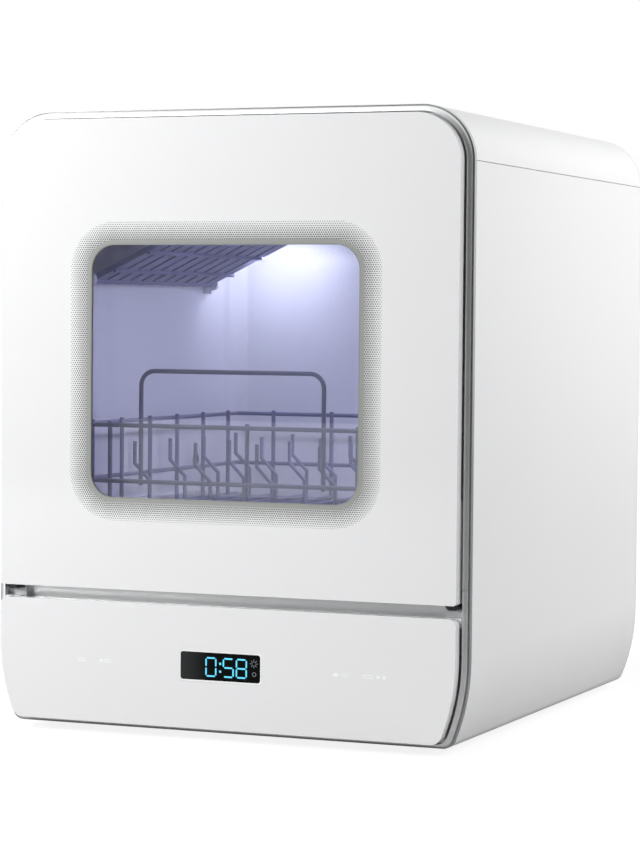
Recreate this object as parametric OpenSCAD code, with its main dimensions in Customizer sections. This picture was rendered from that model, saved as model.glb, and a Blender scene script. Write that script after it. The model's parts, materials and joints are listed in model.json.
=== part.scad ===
// Countertop dishwasher with a drop-down glass door, a sliding wire rack,
// a tilting cup shelf, a spray arm and a warm-air drying fan.
// X runs to the right, Y to the back, Z up; the origin is under the middle of the whole.

/* [Casing] */
// Width of the door and of the control panel
door_w = 366; // [350:1:400]
// Depth from the door glass to the screw heads on the back
depth = 438; // [430:1:480]
// How far the water connectors stand out behind the screw heads
stub = 12; // [8:1:20]
// Height of the door
door_h = 350; // [340:1:380]
// Height of the control panel
panel_h = 90.5; // [85:0.5:110]
// Height of the dark channel between the control panel and the door
channel_h = 9.5; // [9.5:0.5:14]
// How far the casing stands out round the door
rim = 6.5; // [6:0.5:9]
// How far the casing reaches below the control panel
rim_low = 4; // [3:0.5:6]
// Height of the rubber feet
foot_h = 5; // [4:0.5:12]
// Radius of the top corners of the door
corner_r = 34; // [20:1:45]
// Radius of the tuck-in of the lower sides
tuck_r = 150; // [120:5:220]
// Height over which the lower sides tuck in
tuck_h = 60; // [40:1:70]
// Radius of the bottom corners
base_r = 9; // [5:0.5:12]
// Wall of the casing
wall = 2.5; // [2:0.1:3]

/* [Door] */
// Thickness of the door's edge
edge_t = 8.3; // [7:0.1:8.8]
// Thickness of the door over its inner liner
door_t = 30; // [28:0.5:32]
// Width of the window
window_w = 216; // [160:1:240]
// Height of the window
window_h = 189; // [140:1:205]
// Height of the window's lower edge over the door's lower edge
window_low = 68; // [60:1:80]
// Radius of the window's corners
window_r = 19; // [8:1:30]
// Thickness of the door glass
glass_t = 3; // [2.5:0.1:4]
// Depth of the hinge axis behind the door glass
hinge_in = 12; // [11.5:0.1:12.2]
// Height of the hinge axis over the door's lower edge
hinge_up = 3.5; // [3.2:0.1:4]
// Radius of the hinge pins
hinge_pin_r = 1.6; // [1.2:0.1:2]
// Radius of the round hinge knuckles
knuckle_r = 8; // [6:0.1:8.2]

/* [Tub] */
// Distance of the tub's inside from the sides of the door
tub_side = 23; // [21:1:33]
// Inner height of the tub
tub_h = 256; // [240:1:262]
// Height of the tub floor over the lower edge of the control panel
tub_up = 122; // [122:1:126]
// Depth of the tub's back wall behind the door glass
tub_back = 377; // [360:1:395]
// Radius of the coves between the tub's walls
cove_r = 25; // [12:1:35]
// Wall of the tub
tub_wall = 2.5; // [2:0.1:3]

/* [Rack] */
// Distance of the rack from the sides of the tub
rack_side = 15; // [13:1:25]
// Depth of the rack
rack_d = 304; // [280:1:310]
// Height of the rack floor over the tub floor
rack_up = 29; // [28.5:0.5:32]
// Radius of the rack's wires
wire_r = 1.7; // [1.4:0.1:2.2]
// Height of the fence's middle wire over the rack floor
fence_mid = 27; // [20:1:40]
// Height of the fence's top wire over the rack floor
fence_top = 69.5; // [55:0.5:90]
// Height of the handle loop over the rack floor
handle_top = 111; // [90:1:125]
// Width of the handle loop
handle_w = 150; // [100:1:180]
// Offset of the handle loop from the middle
handle_x = -14.5; // [-30:0.5:30]
// Radius of the handle loop's corners
handle_r = 11; // [6:1:20]
// Height of the plate tines over the rack floor
tine_h = 55; // [40:1:64]
// Distance between the rows of tines
tine_pitch = 52; // [40:1:60]
// Sideways kink of the tines
tine_kink = 13; // [6:1:18]

/* [Cup shelf] */
// Number of slats
slats = 11; // [7:1:11]
// Distance between the slats
slat_pitch = 20.5; // [16:0.5:20.5]
// Length of the slats from the pivot
slat_len = 90; // [60:1:92]
// Width of a slat
slat_w = 16; // [10:0.5:18]
// Thickness of a slat
slat_t = 4; // [3:0.5:5]
// Tilt of the folded-up shelf
shelf_tilt = 26; // [20:1:26]

/* [Washing] */
// Length of the spray arm
arm_len = 268; // [200:2:276]
// Width of the spray arm at its middle
arm_w = 44; // [34:1:54]
// Thickness of the spray arm
arm_t = 8; // [6:0.5:9]
// Radius of the filter well
well_r = 50; // [40:1:54]
// Radius of the filter cup
cup_r = 25; // [18:1:28]
// Radius of the float's cap
float_r = 14; // [10:1:16]

/* [Controls] */
// Width of the display
display_w = 64; // [50:1:80]
// Height of the display
display_h = 20.5; // [16:0.5:26]
// Height of the display's middle over the lower edge of the panel
display_up = 46.5; // [40:0.5:55]

/* [Drying] */
// Radius of the fan wheel
fan_r = 34; // [26:1:38]
// Number of blades of the fan wheel
blades = 18; // [10:1:24]

/* [Hidden] */
$fn = 48;
fit = 0.05;
gap = 0.3;
seam = 0.4;
screw_head = 1.6;
screw_r = 1.5;
back_t = 2;
panel_z = foot_h + rim_low;
panel_top = panel_z + panel_h;
door_z = panel_top + channel_h;
door_top = door_z + door_h;
case_top = door_top + rim;
case_w = door_w + 2 * rim;
case_x = case_w / 2;
seam_z = door_top - corner_r;
floor_in = panel_z - (rim - wall) * rim_low / rim;
end_in = depth + stub;
front_y = -end_in / 2;
back_in = depth - screw_head - back_t;
frame_in = 9.5;
trim_in = 12.2;
skin_in = 16.5;
groove_w = 1;
groove_d = 1.6;
trim_lip = 0.4;
bulk_in = 17;
split_z = door_z + 11;
channel_in = 22;
lip = 1.5;
hinge_y = front_y + hinge_in;
hinge_z = door_z + hinge_up;
knuckle_x = door_w / 2 - 6;
knuckle_w = 5.3;
knuckle_round = 3;
channel_x = knuckle_x - 7.4;
channel_low = panel_top - 3;
channel_high = split_z - 3;
window_z = door_z + window_low;
liner_x = door_w / 2 - 12;
liner_z0 = door_z + 16.5;
liner_t = 2.5;
liner_r = 20;
liner_rb = 12;
collar_x = liner_x + 2.5;
collar_z0 = liner_z0 - 2.5;
tub_w = door_w - 2 * tub_side;
tub_x = tub_w / 2;
tub_z = panel_z + tub_up;
tub_top = tub_z + tub_h;
liner_z1 = tub_top + 32;
collar_z1 = liner_z1 + 3;
flange_in = door_t + 3;
flange_t = 3;
inner_win_x = window_w / 2 + 22;
inner_win_z0 = window_z - 10;
inner_win_z1 = window_z + window_h + 9;
rack_front = 48;
rack_z = tub_z + rack_up;
rack_x = tub_x - rack_side - wire_r;
cross_wires = 10;
posts = [-101.2, 13.2, 102.4];
lay = 2 * wire_r - 0.8;
tine_in = 24.3;
tine_x0 = tine_in - rack_x;
tine_rows = 1 + floor((rack_x - 4 * wire_r - tine_x0 - tine_kink - tine_pitch / 2) / tine_pitch);
tine_cols = 4;
shelf_x = -tub_x + 8;
shelf_z = tub_top - 46;
shelf_in = 97;
shelf_len = (slats - 1) * slat_pitch;
hub_in = 205;
arm_z = tub_z + 10;
well_x = 70;
well_in = 120;
well_h = 19;
well_lip = 3;
plate_in = 6;
float_x = -112;
float_at = 88;
float_stem = 2.5;
fan_x = -70;
fan_at = 240;
fan_z = tub_top + tub_wall;
fan_h = 22;
fan_eye = 14;
fan_shaft = 2;
strike_z = tub_top + 18;
tray_x = door_w / 2 - 33;
tray_z = floor_in + 2;
vent_w = 5;
vent_pitch = 8;
inlet_r = 13.2;
drain_r = 8;
gland_r = 9;
inlet_at = [53 - door_w / 2, panel_z + 72];
drain_at = [95 - door_w / 2, panel_z + 72];
gland_at = [door_w / 2 - 53, panel_z + 60];
well_z = tub_z - well_h;
sump_z = well_z - 38;
sump_r = well_r - 5;
inlet_z = sump_z + 16;
pump_z = sump_z + 6;
pump_y = front_y + well_in + sump_r;
volute_r = 36;
motor_r = 29;
drain_x = well_x - sump_r - 20;
drain_z = sump_z + 12;
spigot_r = 6.4;
hose_t = 1.8;
drain_hose_r = 5;
fill_hose_r = 6;
neck = 1.5;
collar_t = 2;
fill_x = -tub_x - 15;
fill_z = tub_z + 60;
fill_in = 300;
rail_z = rack_z - 4;
rack_back = rack_front + rack_d - 2 * wire_r;
arm_x = door_w / 2 - 11.4;
strap_t = 3;
eye_r = 3.4;
sweep_z = hinge_z - 12.9;
cup_x0 = 40;
cup_x1 = 96;
cup_d = 12;
lid_travel = 50;
lid_guide = 1.5;
lid_z0 = liner_z0 + 8.5;
lid_z1 = lid_z0 + 24;
tine_r = 1.5;
boss = 6.5;
boss_d = 14;
head_r = 3.2;
screw_top = [for (s = [-1, 1]) [s * (case_x - 69), case_top - wall - boss + 0.5]];
screw_side = [for (z = [door_z + 31, door_top - 129]) [case_x - wall - boss + 0.5, z]];
screw_base = [for (s = [-1, 1]) [s * (tray_x - 50), floor_in + 2 + boss - 0.5]];
screws = concat(screw_top, screw_side, [for (p = screw_side) [-p[0], p[1]]], screw_base);
white = "#f4f4f4";
pale = "#e4e6e8";
grey = "#8a8c8e";
dark = "#3c3e42";
steel = "#b8bcc0";
violet_grey = "#85859f";

function at(d) = front_y + d;
function tine_x(i) = tine_x0 + tine_kink + i * tine_pitch;

// Extrusion of an XZ outline between two depths behind the door glass
module prism(d0, d1) {
    translate([0, at(d1), 0]) rotate([90, 0, 0]) linear_extrude(d1 - d0) children();
}

// Extrusion of a YZ outline between two X places
module slice(x0, x1) {
    translate([x0, 0, 0]) rotate([90, 0, 90]) linear_extrude(x1 - x0) children();
}

// Box between two corners
module block(a, b) {
    translate(a) cube(b - a);
}

// Rod along X, Y or Z from a to a length
module rod_x(x0, x1, y, z, r) {
    translate([x0, y, z]) rotate([0, 90, 0]) cylinder(h = x1 - x0, r = r);
}
module rod_y(x, y0, y1, z, r) {
    translate([x, y0, z]) rotate([-90, 0, 0]) cylinder(h = y1 - y0, r = r);
}
module rod_z(x, y, z0, z1, r) {
    translate([x, y, z0]) cylinder(h = z1 - z0, r = r);
}

// Both the right-hand and the left-hand copy
module pair() {
    children();
    mirror([1, 0, 0]) children();
}

// Rounded rectangle of half width w between two heights
module rounded(w, z0, z1, rt, rb) {
    translate([-w, z0 + rb]) square([2 * w, z1 - rt - z0 - rb]);
    translate([rt - w, z1 - rt - 1]) square([2 * (w - rt), rt + 1]);
    for (s = [-1, 1]) translate([s * (w - rt), z1 - rt]) circle(rt);
    if (rb > 0) {
        translate([rb - w, z0]) square([2 * (w - rb), rb + 1]);
        for (s = [-1, 1]) translate([s * (w - rb), z0 + rb]) circle(rb);
    }
}

// Outline of the machine's front, grown outwards by e
module outline(e) {
    w = door_w / 2 + e;
    top = door_top + e;
    r = corner_r + e;
    low = panel_z - e * rim_low / rim;
    mid = panel_z + tuck_h;
    big = tuck_r + e;
    cx = w - big;
    drop = mid - low - base_r;
    fx = cx + sqrt(pow(big - base_r, 2) - drop * drop);
    tz = mid - big * drop / (big - base_r);
    translate([-w, mid - 1]) square([2 * w, 1]);
    translate([-w, mid]) square([2 * w, top - r - mid]);
    translate([r - w, top - r - 1]) square([2 * (w - r), r + 1]);
    for (s = [-1, 1]) translate([s * (w - r), top - r]) circle(r, $fn = 120);
    intersection() {
        translate([-w, tz]) square([2 * w, mid - tz]);
        union() for (s = [-1, 1]) translate([s * cx, mid]) circle(big, $fn = 240);
    }
    translate([-fx, low]) square([2 * fx, tz - low + 1]);
    for (s = [-1, 1]) translate([s * fx, low + base_r]) circle(base_r);
}

// Outlines of the door's and the panel's pieces, with all sides moved by d
module door_shape(d) {
    rounded(door_w / 2 - d, door_z + d, door_top - d, corner_r - d, 2);
}
module window_shape(d) {
    rounded(window_w / 2 - d, window_z + d, window_z + window_h - d, window_r - d, window_r - d);
}
module panel_shape(d) {
    intersection() {
        outline(-d);
        rounded(door_w / 2 - d, 0, panel_top - d, 5.5, 0);
    }
}
module liner_shape(d) {
    rounded(liner_x - d, liner_z0 + d, liner_z1 - d, liner_r - d, liner_rb - d);
}
module collar_shape(d) {
    rounded(collar_x + d, collar_z0 - d, collar_z1 + d, liner_r + 2 + d, liner_rb + d);
}
module inner_shape(d) {
    rounded(inner_win_x + d, inner_win_z0 - d, inner_win_z1 + d, 14 + d, 14 + d);
}
module display_shape(d) {
    rounded(display_w / 2 + d, panel_z + display_up - display_h / 2 - d,
        panel_z + display_up + display_h / 2 + d, 2 + d, 2 + d);
}

// Bent casing sheet, from the trim to the back panel
module casing_sheet() {
    prism(skin_in, back_in) difference() {
        outline(rim);
        outline(rim - wall);
    }
}

// Bosses for the screws of the back panel
module bosses(list) {
    for (p = list) difference() {
        block([p[0] - boss, at(back_in - boss_d), p[1] - boss], [p[0] + boss, at(back_in), p[1] + boss]);
        rod_y(p[0], at(back_in - boss_d + 1), at(back_in + 1), p[1], screw_r + fit);
    }
}

module top_cover() color(white) {
    difference() {
        casing_sheet();
        block([-case_w, at(0), 0], [case_w, at(depth), seam_z + seam / 2]);
    }
    bosses(screw_top);
}

module side_panel() {
    difference() {
        casing_sheet();
        block([-case_w, at(0), seam_z - seam / 2], [case_w, at(depth), case_top + 1]);
        block([-case_w, at(0), -1], [tray_x, at(depth), case_top]);
    }
    bosses(screw_side);
}
module side_panel_left() color(white) mirror([1, 0, 0]) side_panel();
module side_panel_right() color(white) side_panel();

// Tray that closes the casing below and carries the pumps
module base_tray() color(dark) {
    difference() {
        union() {
            intersection() {
                casing_sheet();
                block([seam - tray_x, at(0), -1], [tray_x - seam, at(depth), panel_z + 1]);
            }
            block([-tray_x - 8, at(skin_in + 4), floor_in], [tray_x + 8, at(back_in), tray_z]);
        }
        for (x = [-60, 60], i = [0 : 4])
            translate([x - 24, at(190 + 2 * vent_pitch * i), 0]) cube([48, vent_w, tray_z + 1]);
    }
    bosses(screw_base);
}

// Back plate with vents and screw holes, and the small plate in it that the hose connectors pass through
module vent(x, z0, z1) {
    block([x - vent_w / 2, at(back_in - 1), z0], [x + vent_w / 2, at(depth), z1]);
}
module hose_plate(d, back_d) {
    block([inlet_at[0] - 23 - d, at(back_in - back_d), inlet_at[1] - 20 - d],
        [drain_at[0] + 17 + d, at(back_in + back_t + back_d), inlet_at[1] + 20 + d]);
}
module back_panel() color(pale) {
    difference() {
        prism(back_in, back_in + back_t) outline(rim);
        hose_plate(fit, 1);
        for (p = screws) rod_y(p[0], at(back_in - 1), at(depth), p[1], screw_r + gap);
        for (i = [-3 : 3]) vent(fan_x + vent_pitch * i, fan_z + 4, fan_z + fan_h - 4);
        for (i = [-6 : 6]) vent(vent_pitch * i, panel_z + 20, panel_z + 50);
        rod_y(gland_at[0], at(back_in - 1), at(depth), gland_at[1], gland_r + gap);
    }
    difference() {
        hose_plate(0, 0);
        rod_y(inlet_at[0], at(back_in - 1), at(depth), inlet_at[1], inlet_r - neck + gap);
        rod_y(drain_at[0], at(back_in - 1), at(depth), drain_at[1], drain_r - neck + gap);
    }
}

module back_screws() color(steel) {
    for (p = screws) {
        rod_y(p[0], at(back_in - 11), at(depth - screw_head), p[1], screw_r);
        difference() {
            rod_y(p[0], at(depth - screw_head), at(depth), p[1], head_r);
            block([p[0] - 2, at(depth - 0.8), p[1] - 0.35], [p[0] + 2, at(depth + 1), p[1] + 0.35]);
            block([p[0] - 0.35, at(depth - 0.8), p[1] - 2], [p[0] + 0.35, at(depth + 1), p[1] + 2]);
        }
    }
}

module rubber_feet() color(dark) {
    for (x = [30 - tray_x, tray_x - 30], d = [64, back_in - 58]) difference() {
        rod_z(x, at(d), 0, foot_h, 13);
        rod_z(x, at(d), -1, 1.2, 6);
    }
}

// Grey ring that frames the door and the panel, its face rounded towards the groove before the trim
module frame_ring() {
    edge = rim - trim_lip - groove_w;
    difference() {
        union() {
            hull() {
                prism(frame_in, frame_in + 0.2) outline(lip + 0.9);
                prism(frame_in + 0.5, frame_in + 0.7) outline(edge - 1.1);
                prism(trim_in - 1, trim_in) outline(edge);
            }
            prism(trim_in - 0.1, trim_in + groove_d) outline(edge);
            prism(trim_in, bulk_in + liner_t) outline(rim - wall - fit);
        }
        prism(0, depth) outline(lip);
    }
}

// Wall behind the ring, open for the door's liner
module bulkhead() {
    prism(bulk_in, bulk_in + liner_t) difference() {
        outline(lip + 0.5);
        collar_shape(0);
    }
}

module upper_frame() color(grey) {
    difference() {
        union() {
            frame_ring();
            bulkhead();
            prism(bulk_in, flange_in) difference() {
                collar_shape(liner_t);
                collar_shape(0);
            }
        }
        block([-case_w, at(0), -1], [case_w, at(depth), split_z + seam / 2]);
    }
}

// Lower half of the frame, with the channel under the door
module lower_frame() color(grey) {
    difference() {
        union() {
            frame_ring();
            bulkhead();
            block([-channel_x - liner_t, at(bulk_in), channel_low - liner_t],
                [channel_x + liner_t, at(channel_in + liner_t), channel_high + liner_t]);
            block([-channel_x, at(edge_t + 0.6), channel_low - liner_t],
                [channel_x, at(channel_in), channel_low]);
        }
        block([-channel_x, at(edge_t), channel_low], [channel_x, at(channel_in), channel_high]);
        prism(bulk_in - 1, bulk_in + liner_t + 1) rounded(140, panel_z + 14, panel_top - 12, 4, 4);
        block([-case_w, at(0), split_z - seam / 2], [case_w, at(depth), case_top + 1]);
        pair() rod_x(door_w / 2, door_w / 2 + 3.7, hinge_y, hinge_z, hinge_pin_r + fit);
        pair() rod_x(arm_x - 0.2, door_w / 2 + lip, hinge_y, hinge_z, knuckle_r + 0.7);
    }
}

// Bright strip round the casing's front edge, with a fine groove between it and the ring
module casing_trim() color(pale) {
    prism(trim_in + groove_d, skin_in) difference() {
        outline(rim);
        outline(rim - wall);
    }
    prism(trim_in, skin_in - 1) difference() {
        outline(rim);
        outline(rim - trim_lip);
    }
}

// Brackets beside the channel, clear of the sweep of the door's lower edge, with a lug for the pin
module hinge_brackets() color("#a0a2a4") {
    lug_x = arm_x - 0.3;
    end_x = door_w / 2 + 1.2;
    low = channel_low - 4;
    pair() difference() {
        union() {
            block([channel_x + liner_t, at(frame_in), low], [end_x, at(bulk_in), sweep_z]);
            difference() {
                block([channel_x, at(bulk_in - 0.8), low], [end_x, at(bulk_in), split_z - seam]);
                rod_x(lug_x, end_x + 1, hinge_y, hinge_z, knuckle_r + 0.7);
            }
            block([lug_x - 2.4, hinge_y, hinge_z - eye_r], [lug_x, at(bulk_in), hinge_z + eye_r]);
            rod_x(lug_x - 2.4, lug_x, hinge_y, hinge_z, eye_r);
        }
        rod_x(lug_x - 3, lug_x + 1, hinge_y, hinge_z, hinge_pin_r + fit);
    }
}

module hinge_pins() color(steel) {
    pair() rod_x(arm_x - 2.7, door_w / 2 + 3.6, hinge_y, hinge_z, hinge_pin_r);
}

// Space of the tub grown by d, with coves along its edges
module tub_space(d, front_in) {
    r = cove_r + d;
    back = at(tub_back + d);
    intersection() {
        prism(front_in, tub_back + d) rounded(tub_x + d, tub_z - d, tub_top + d, r, r);
        translate([0, 0, tub_z - d]) linear_extrude(tub_h + 2 * d)
            rounded(tub_x + d, at(front_in), back, r, 0);
        slice(-tub_x - d, tub_x + d) translate([0, tub_z + tub_h / 2]) rotate(-90)
            rounded(tub_h / 2 + d, at(front_in), back, r, 0);
    }
}

module tub() color("#f0f0f2") {
    difference() {
        union() {
            tub_space(tub_wall, flange_in);
            prism(flange_in, flange_in + flange_t) collar_shape(liner_t + 1);
            rod_z(well_x, at(well_in), well_z - tub_wall, tub_z, well_r + tub_wall);
        }
        tub_space(0, flange_in - 1);
        rod_z(well_x, at(well_in), tub_z - plate_in, tub_z + 1, well_r);
        rod_z(well_x, at(well_in), well_z, tub_z, well_r - well_lip);
        rod_z(well_x, at(well_in), well_z - 9, tub_z, cup_r + 1.5);
        rod_z(0, at(hub_in), tub_z - 9, tub_z + 1, 8);
        rod_z(float_x, at(float_at), tub_z - 9, tub_z + 1, float_stem + fit);
        rod_z(fan_x, at(fan_at), tub_top - 1, fan_z + 1, fan_eye);
        block([-11, at(flange_in - 1), strike_z - 4], [11, at(flange_in + 4), strike_z + 8]);
        rod_x(-tub_x - 9, -tub_x + 1, at(fill_in), fill_z, fill_hose_r + fit);
    }
}

module tub_gasket() color("#9a9ca0") {
    prism(door_t + gap, flange_in) difference() {
        rounded(tub_x + 5, tub_z - 5, tub_top + 5, cove_r + 5, cove_r + 5);
        rounded(tub_x + 1.5, tub_z - 1.5, tub_top + 1.5, cove_r + 1.5, cove_r + 1.5);
    }
}

module control_fascia() color(white) {
    difference() {
        prism(0, edge_t) panel_shape(0);
        prism(2.5, edge_t + 1) panel_shape(2.5);
        prism(-1, 3) display_shape(1.3 + fit);
    }
    pair() for (z = [panel_z + 26, panel_top - 18])
        rod_y(door_w / 2 - 31, at(2.4), at(bulk_in), z, 4);
}

module display_bezel() color(white) {
    prism(0, 2.5) difference() {
        display_shape(1.3);
        display_shape(fit);
    }
}

module display_window() color("#101216") {
    prism(0.2, 2.2) display_shape(0);
}

module display_board() color("#2f6b45") {
    edge = display_w / 2 + 28;
    block([-edge, at(6.5), panel_z + display_up - 18.5], [edge, at(8.1), panel_z + display_up + 19.5]);
    block([3 - display_w / 2, at(2.5), panel_z + display_up - 9],
        [display_w / 2 - 3, at(6.5), panel_z + display_up + 9]);
    for (x = [6 - edge, edge - 6], z = [-15, 16]) rod_y(x, at(2.5), at(6.5), panel_z + display_up + z, 2);
}

module touch_sensors() color("#2f6b45") {
    pair() block([door_w / 2 - 103, at(2.5), panel_z + display_up - 10.5],
        [door_w / 2 - 43, at(4.1), panel_z + display_up + 10.5]);
}

module power_board() color("#2f6b45") {
    translate([45 - tray_x, at(back_in - 104), tray_z]) {
        for (x = [-34, 34], y = [-44, 44]) rod_z(x, y, 0, 6, 2.5);
        block([-40, -50, 6], [40, 50, 7.6]);
        block([-30, -42, 7.6], [4, -8, 36]);
        for (x = [-20, 0, 20]) rod_z(x, 10, 7.6, 32, 8);
        for (i = [0 : 2]) block([-32 + 22 * i, 26, 7.6], [-14 + 22 * i, 42, 24]);
        block([14, -42, 7.6], [18, -4, 40]);
    }
}

module sump() color("#e8e8e8") {
    difference() {
        rod_z(well_x, at(well_in), sump_z, well_z - tub_wall, sump_r);
        rod_z(well_x, at(well_in), sump_z + 2.5, well_z, sump_r - 3);
        rod_y(well_x, at(well_in), pump_y + 1, inlet_z, 12 + fit);
        rod_x(well_x - sump_r - 1, well_x, at(well_in), inlet_z, 11 + fit);
    }
}

module wash_pump() color("#50545a") {
    volute = at(hub_in);
    rod_y(well_x, pump_y - 3, volute - 11, inlet_z, 12);
    rod_y(well_x, volute - 12, volute + 12, pump_z, volute_r);
    rod_x(well_x - volute_r - 9, well_x - volute_r + 6, volute, pump_z, spigot_r);
    rod_y(well_x, volute + 12, volute + 94, pump_z, motor_r);
    for (i = [0 : 4]) rod_y(well_x, volute + 24 + 14 * i, volute + 30 + 14 * i, pump_z, motor_r + 2);
    block([well_x - 20, volute + 24, tray_z], [well_x + 20, volute + 84, pump_z - motor_r + 5]);
}

module drain_pump() color("#50545a") {
    rod_x(drain_x, well_x - sump_r + 3, at(well_in), inlet_z, 11);
    rod_x(drain_x - 18, drain_x + 1, at(well_in), drain_z, 24);
    rod_x(drain_x - 63, drain_x - 18, at(well_in), drain_z, 19);
    rod_z(drain_x - 9, at(well_in), drain_z, drain_z + 27.5, drain_hose_r - hose_t);
    block([drain_x - 55, at(well_in) - 14, tray_z], [drain_x - 25, at(well_in) + 14, drain_z - 15]);
}

// Heating plate under the sump, with its two terminals
module water_heater() color(steel) {
    difference() {
        rod_z(well_x, at(well_in), sump_z - 7, sump_z, 34);
        rod_z(well_x, at(well_in), sump_z - 8, sump_z - 2.5, 22);
    }
    for (x = [-9, 9]) translate([well_x + x - 3, at(well_in) - 0.4, sump_z - 16]) cube([6, 0.8, 14]);
}

module inlet_valve() color("#f0f0f0") {
    rod_z(inlet_at[0], at(back_in - 51), inlet_at[1], inlet_at[1] + 22.5, fill_hose_r - hose_t);
    rod_y(inlet_at[0], at(back_in - 44), at(back_in - 4), inlet_at[1], 14);
    block([inlet_at[0] - 15, at(back_in - 62), inlet_at[1] - 18],
        [inlet_at[0] + 15, at(back_in - 40), inlet_at[1] + 18]);
}

module inlet_connector() color("#e0e0e0") {
    difference() {
        union() {
            rod_y(inlet_at[0], at(back_in - 4), at(end_in), inlet_at[1], inlet_r - neck);
            rod_y(inlet_at[0], at(back_in - 4), at(back_in), inlet_at[1], inlet_r + 4);
            rod_y(inlet_at[0], at(depth - screw_head), at(end_in), inlet_at[1], inlet_r);
            rod_y(inlet_at[0], at(depth - screw_head), at(depth - screw_head + collar_t), inlet_at[1],
                inlet_r + 4);
        }
        rod_y(inlet_at[0], at(back_in - 5), at(end_in + 1), inlet_at[1], inlet_r - 3);
    }
}

module drain_connector() color("#e0e0e0") {
    difference() {
        union() {
            rod_y(drain_at[0], at(back_in - 24), at(end_in), drain_at[1], drain_r - neck);
            rod_y(drain_at[0], at(back_in - 4), at(back_in), drain_at[1], drain_r + 4);
            rod_y(drain_at[0], at(depth - screw_head), at(end_in), drain_at[1], drain_r);
            rod_y(drain_at[0], at(depth - screw_head), at(depth - screw_head + collar_t), drain_at[1],
                drain_r + 4);
        }
        rod_y(drain_at[0], at(back_in - 25), at(end_in + 1), drain_at[1], drain_r - neck - 1.5);
    }
}

// Gland that the mains lead passes through
module cord_gland() color(dark) {
    difference() {
        union() {
            rod_y(gland_at[0], at(back_in - 10), at(depth + 6), gland_at[1], gland_r);
            rod_y(gland_at[0], at(back_in - 4), at(back_in), gland_at[1], gland_r + 3);
        }
        rod_y(gland_at[0], at(back_in - 11), at(depth + 7), gland_at[1], 4);
    }
}

// Hose along axis-parallel runs with a quarter bend at each turn, its ends reaching out by e
module run(points, bend, r, e) {
    n = len(points) - 1;
    ways = [for (i = [0 : n - 1]) (points[i + 1] - points[i]) / norm(points[i + 1] - points[i])];
    for (i = [0 : n - 1]) {
        a = points[i] + (i == 0 ? -e : bend) * ways[i];
        b = points[i + 1] - (i == n - 1 ? -e : bend) * ways[i];
        lo = [min(a[0], b[0]), min(a[1], b[1]), min(a[2], b[2])];
        hi = [max(a[0], b[0]), max(a[1], b[1]), max(a[2], b[2])];
        if (abs(ways[i][0]) > 0.5) rod_x(lo[0], hi[0], lo[1], lo[2], r);
        if (abs(ways[i][1]) > 0.5) rod_y(lo[0], lo[1], hi[1], lo[2], r);
        if (abs(ways[i][2]) > 0.5) rod_z(lo[0], lo[1], lo[2], hi[2], r);
    }
    for (i = [1 : n - 1]) {
        u = ways[i - 1];
        v = ways[i];
        w = cross(u, v);
        c = points[i] - bend * u + bend * v;
        multmatrix([[-v[0], u[0], w[0], c[0]], [-v[1], u[1], w[1], c[1]], [-v[2], u[2], w[2], c[2]]])
            rotate_extrude(angle = 90) translate([bend, 0]) circle(r);
    }
}
module hose(points, bend, r) {
    difference() {
        run(points, bend, r, 0);
        run(points, bend, r - hose_t + fit, 1);
    }
}

module internal_hoses() color("#707478") {
    top = tub_z - 10;
    valve_y = at(back_in - 51);
    turn_y = at(back_in - 42);
    hose([[0, at(hub_in), tub_z - tub_wall - 0.5], [0, at(hub_in), pump_z],
        [well_x - volute_r - 0.5, at(hub_in), pump_z]], 14, spigot_r + hose_t);
    hose([[drain_x - 9, at(well_in), drain_z + 24.3], [drain_x - 9, at(well_in), top],
        [drain_at[0], at(well_in), top], [drain_at[0], turn_y, top], [drain_at[0], turn_y, drain_at[1]],
        [drain_at[0], at(back_in - 24), drain_at[1]]], 7, drain_hose_r);
    hose([[inlet_at[0], valve_y, inlet_at[1] + 19], [inlet_at[0], valve_y, inlet_at[1] + 31],
        [fill_x, valve_y, inlet_at[1] + 31], [fill_x, valve_y, fill_z], [fill_x, at(fill_in), fill_z],
        [-tub_x, at(fill_in), fill_z]], 8, fill_hose_r);
}

module fan_housing() color("#d4d6d8") {
    difference() {
        union() {
            rod_z(fan_x, at(fan_at), fan_z, fan_z + fan_h, fan_r + 6);
            block([fan_x - 32, at(fan_at), fan_z], [fan_x + 32, at(back_in), fan_z + fan_h]);
        }
        rod_z(fan_x, at(fan_at), fan_z + 2, fan_z + fan_h - 2, fan_r + 4);
        block([fan_x - 30, at(fan_at), fan_z + 2], [fan_x + 30, at(depth), fan_z + fan_h - 2]);
        rod_z(fan_x, at(fan_at), fan_z + 2, fan_z + fan_h + 1, 8);
        rod_z(fan_x, at(fan_at), fan_z - 1, fan_z + 3, fan_eye);
    }
}

module fan_motor() color("#50545a") {
    rod_z(fan_x, at(fan_at), fan_z + 5, fan_z + fan_h + 1, fan_shaft);
    rod_z(fan_x, at(fan_at), fan_z + fan_h, fan_z + fan_h + 20, 17);
}

module fan_wheel() color(pale) {
    z0 = fan_z + 3.5;
    z1 = fan_z + fan_h - 3.5;
    difference() {
        union() {
            rod_z(fan_x, at(fan_at), z0, z0 + 1.5, fan_r);
            rod_z(fan_x, at(fan_at), z0, z1 - 3, 6);
            for (i = [0 : blades - 1]) translate([fan_x, at(fan_at), z0 + 1]) rotate(i * 360 / blades)
                translate([fan_r - 7, 0, 0]) rotate(35) block([-6, -0.6, 0], [6, 0.6, z1 - z0 - 1]);
        }
        rod_z(fan_x, at(fan_at), z0 - 1, z1, fan_shaft + fit);
    }
}

module interior_lamp() color("#c8c4ff") {
    rod_z(60, at(150), tub_top - 2.5, tub_top, 18);
    rod_z(60, at(150), tub_top - 4, tub_top - 2.5, 14);
}

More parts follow.
